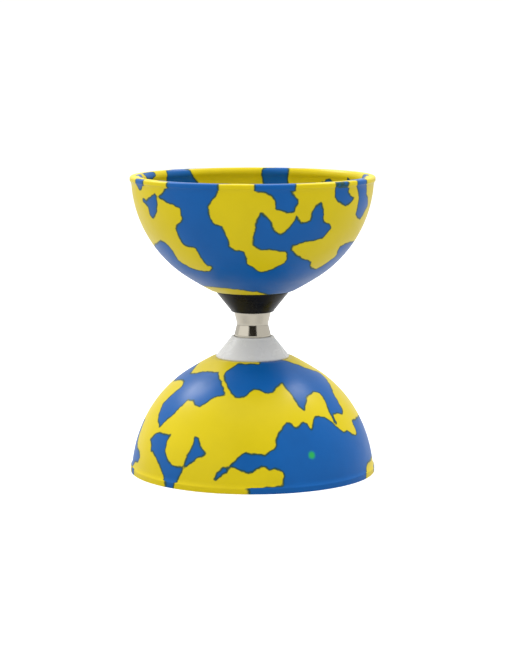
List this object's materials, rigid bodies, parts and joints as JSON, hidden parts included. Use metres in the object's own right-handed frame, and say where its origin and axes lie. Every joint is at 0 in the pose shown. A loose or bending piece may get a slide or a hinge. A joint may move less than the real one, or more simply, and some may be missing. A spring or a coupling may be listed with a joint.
{
  "type": "diabolo",
  "caption": "Diabolo with two marbled rubber cups on a flared steel axle sleeve that spins on ball bearings and a one-way roller clutch.",
  "frame": {"origin": "on the spin axis, in the plane of the lower cup's rim", "axes": "+Z along the spin axis, from the lower cup to the upper cup; X and Y are any two square directions across it"},
  "size_m": [0.1224, 0.1224, 0.1475],
  "materials": {
    "cup_rubber": "satin moulded rubber, yellow marbled with blue",
    "white_plastic": "satin natural white plastic",
    "black_plastic": "semi-gloss black plastic",
    "zinc_steel": "zinc-plated steel",
    "nut_nylon": "blue nylon",
    "bearing_steel": "ground and polished bearing steel",
    "cage_brass": "stamped brass",
    "cage_plastic": "moulded dark nylon",
    "sleeve_steel": "turned and polished steel"
  },
  "bodies": {
    "rotor": {"lower_cup": "cup_rubber", "upper_cup": "cup_rubber", "lower_hub": "white_plastic", "upper_hub": "black_plastic", "lower_clamp_plate": "white_plastic", "upper_clamp_plate": "black_plastic", "lower_washer": "zinc_steel", "upper_washer": "zinc_steel", "lower_lock_nut": "zinc_steel", "upper_lock_nut": "zinc_steel", "lower_nut_insert": "nut_nylon", "upper_nut_insert": "nut_nylon", "spindle": "zinc_steel", "clutch_journal": "bearing_steel", "lower_spacer": "bearing_steel", "upper_spacer": "bearing_steel", "lower_bearing_inner_race": "bearing_steel", "upper_bearing_inner_race": "bearing_steel"},
    "sleeve": {"axle_sleeve": "sleeve_steel", "lower_bearing_outer_race": "bearing_steel", "upper_bearing_outer_race": "bearing_steel", "lower_bearing_shields": "bearing_steel", "upper_bearing_shields": "bearing_steel", "clutch_shell": "bearing_steel", "clutch_cage": "cage_plastic", "clutch_rollers": "bearing_steel"},
    "lower_ball_set": {"lower_bearing_balls": "bearing_steel", "lower_bearing_cage": "cage_brass"},
    "upper_ball_set": {"upper_bearing_balls": "bearing_steel", "upper_bearing_cage": "cage_brass"}
  },
  "joints": [
    {"name": "sleeve_spin", "type": "hinge", "parent": "rotor", "child": "sleeve", "pos_m": [0, 0, 0.07375], "axis": [0, 0, 1], "continuous": true},
    {"name": "lower_balls_spin", "type": "hinge", "parent": "rotor", "child": "lower_ball_set", "pos_m": [0, 0, 0.06525], "axis": [0, 0, 1], "continuous": true},
    {"name": "upper_balls_spin", "type": "hinge", "parent": "rotor", "child": "upper_ball_set", "pos_m": [0, 0, 0.08225], "axis": [0, 0, 1], "continuous": true}
  ],
  "couplings": [
    {"joint": "lower_balls_spin", "follows": "sleeve_spin", "ratio": 0.605},
    {"joint": "upper_balls_spin", "follows": "sleeve_spin", "ratio": 0.605}
  ]
}
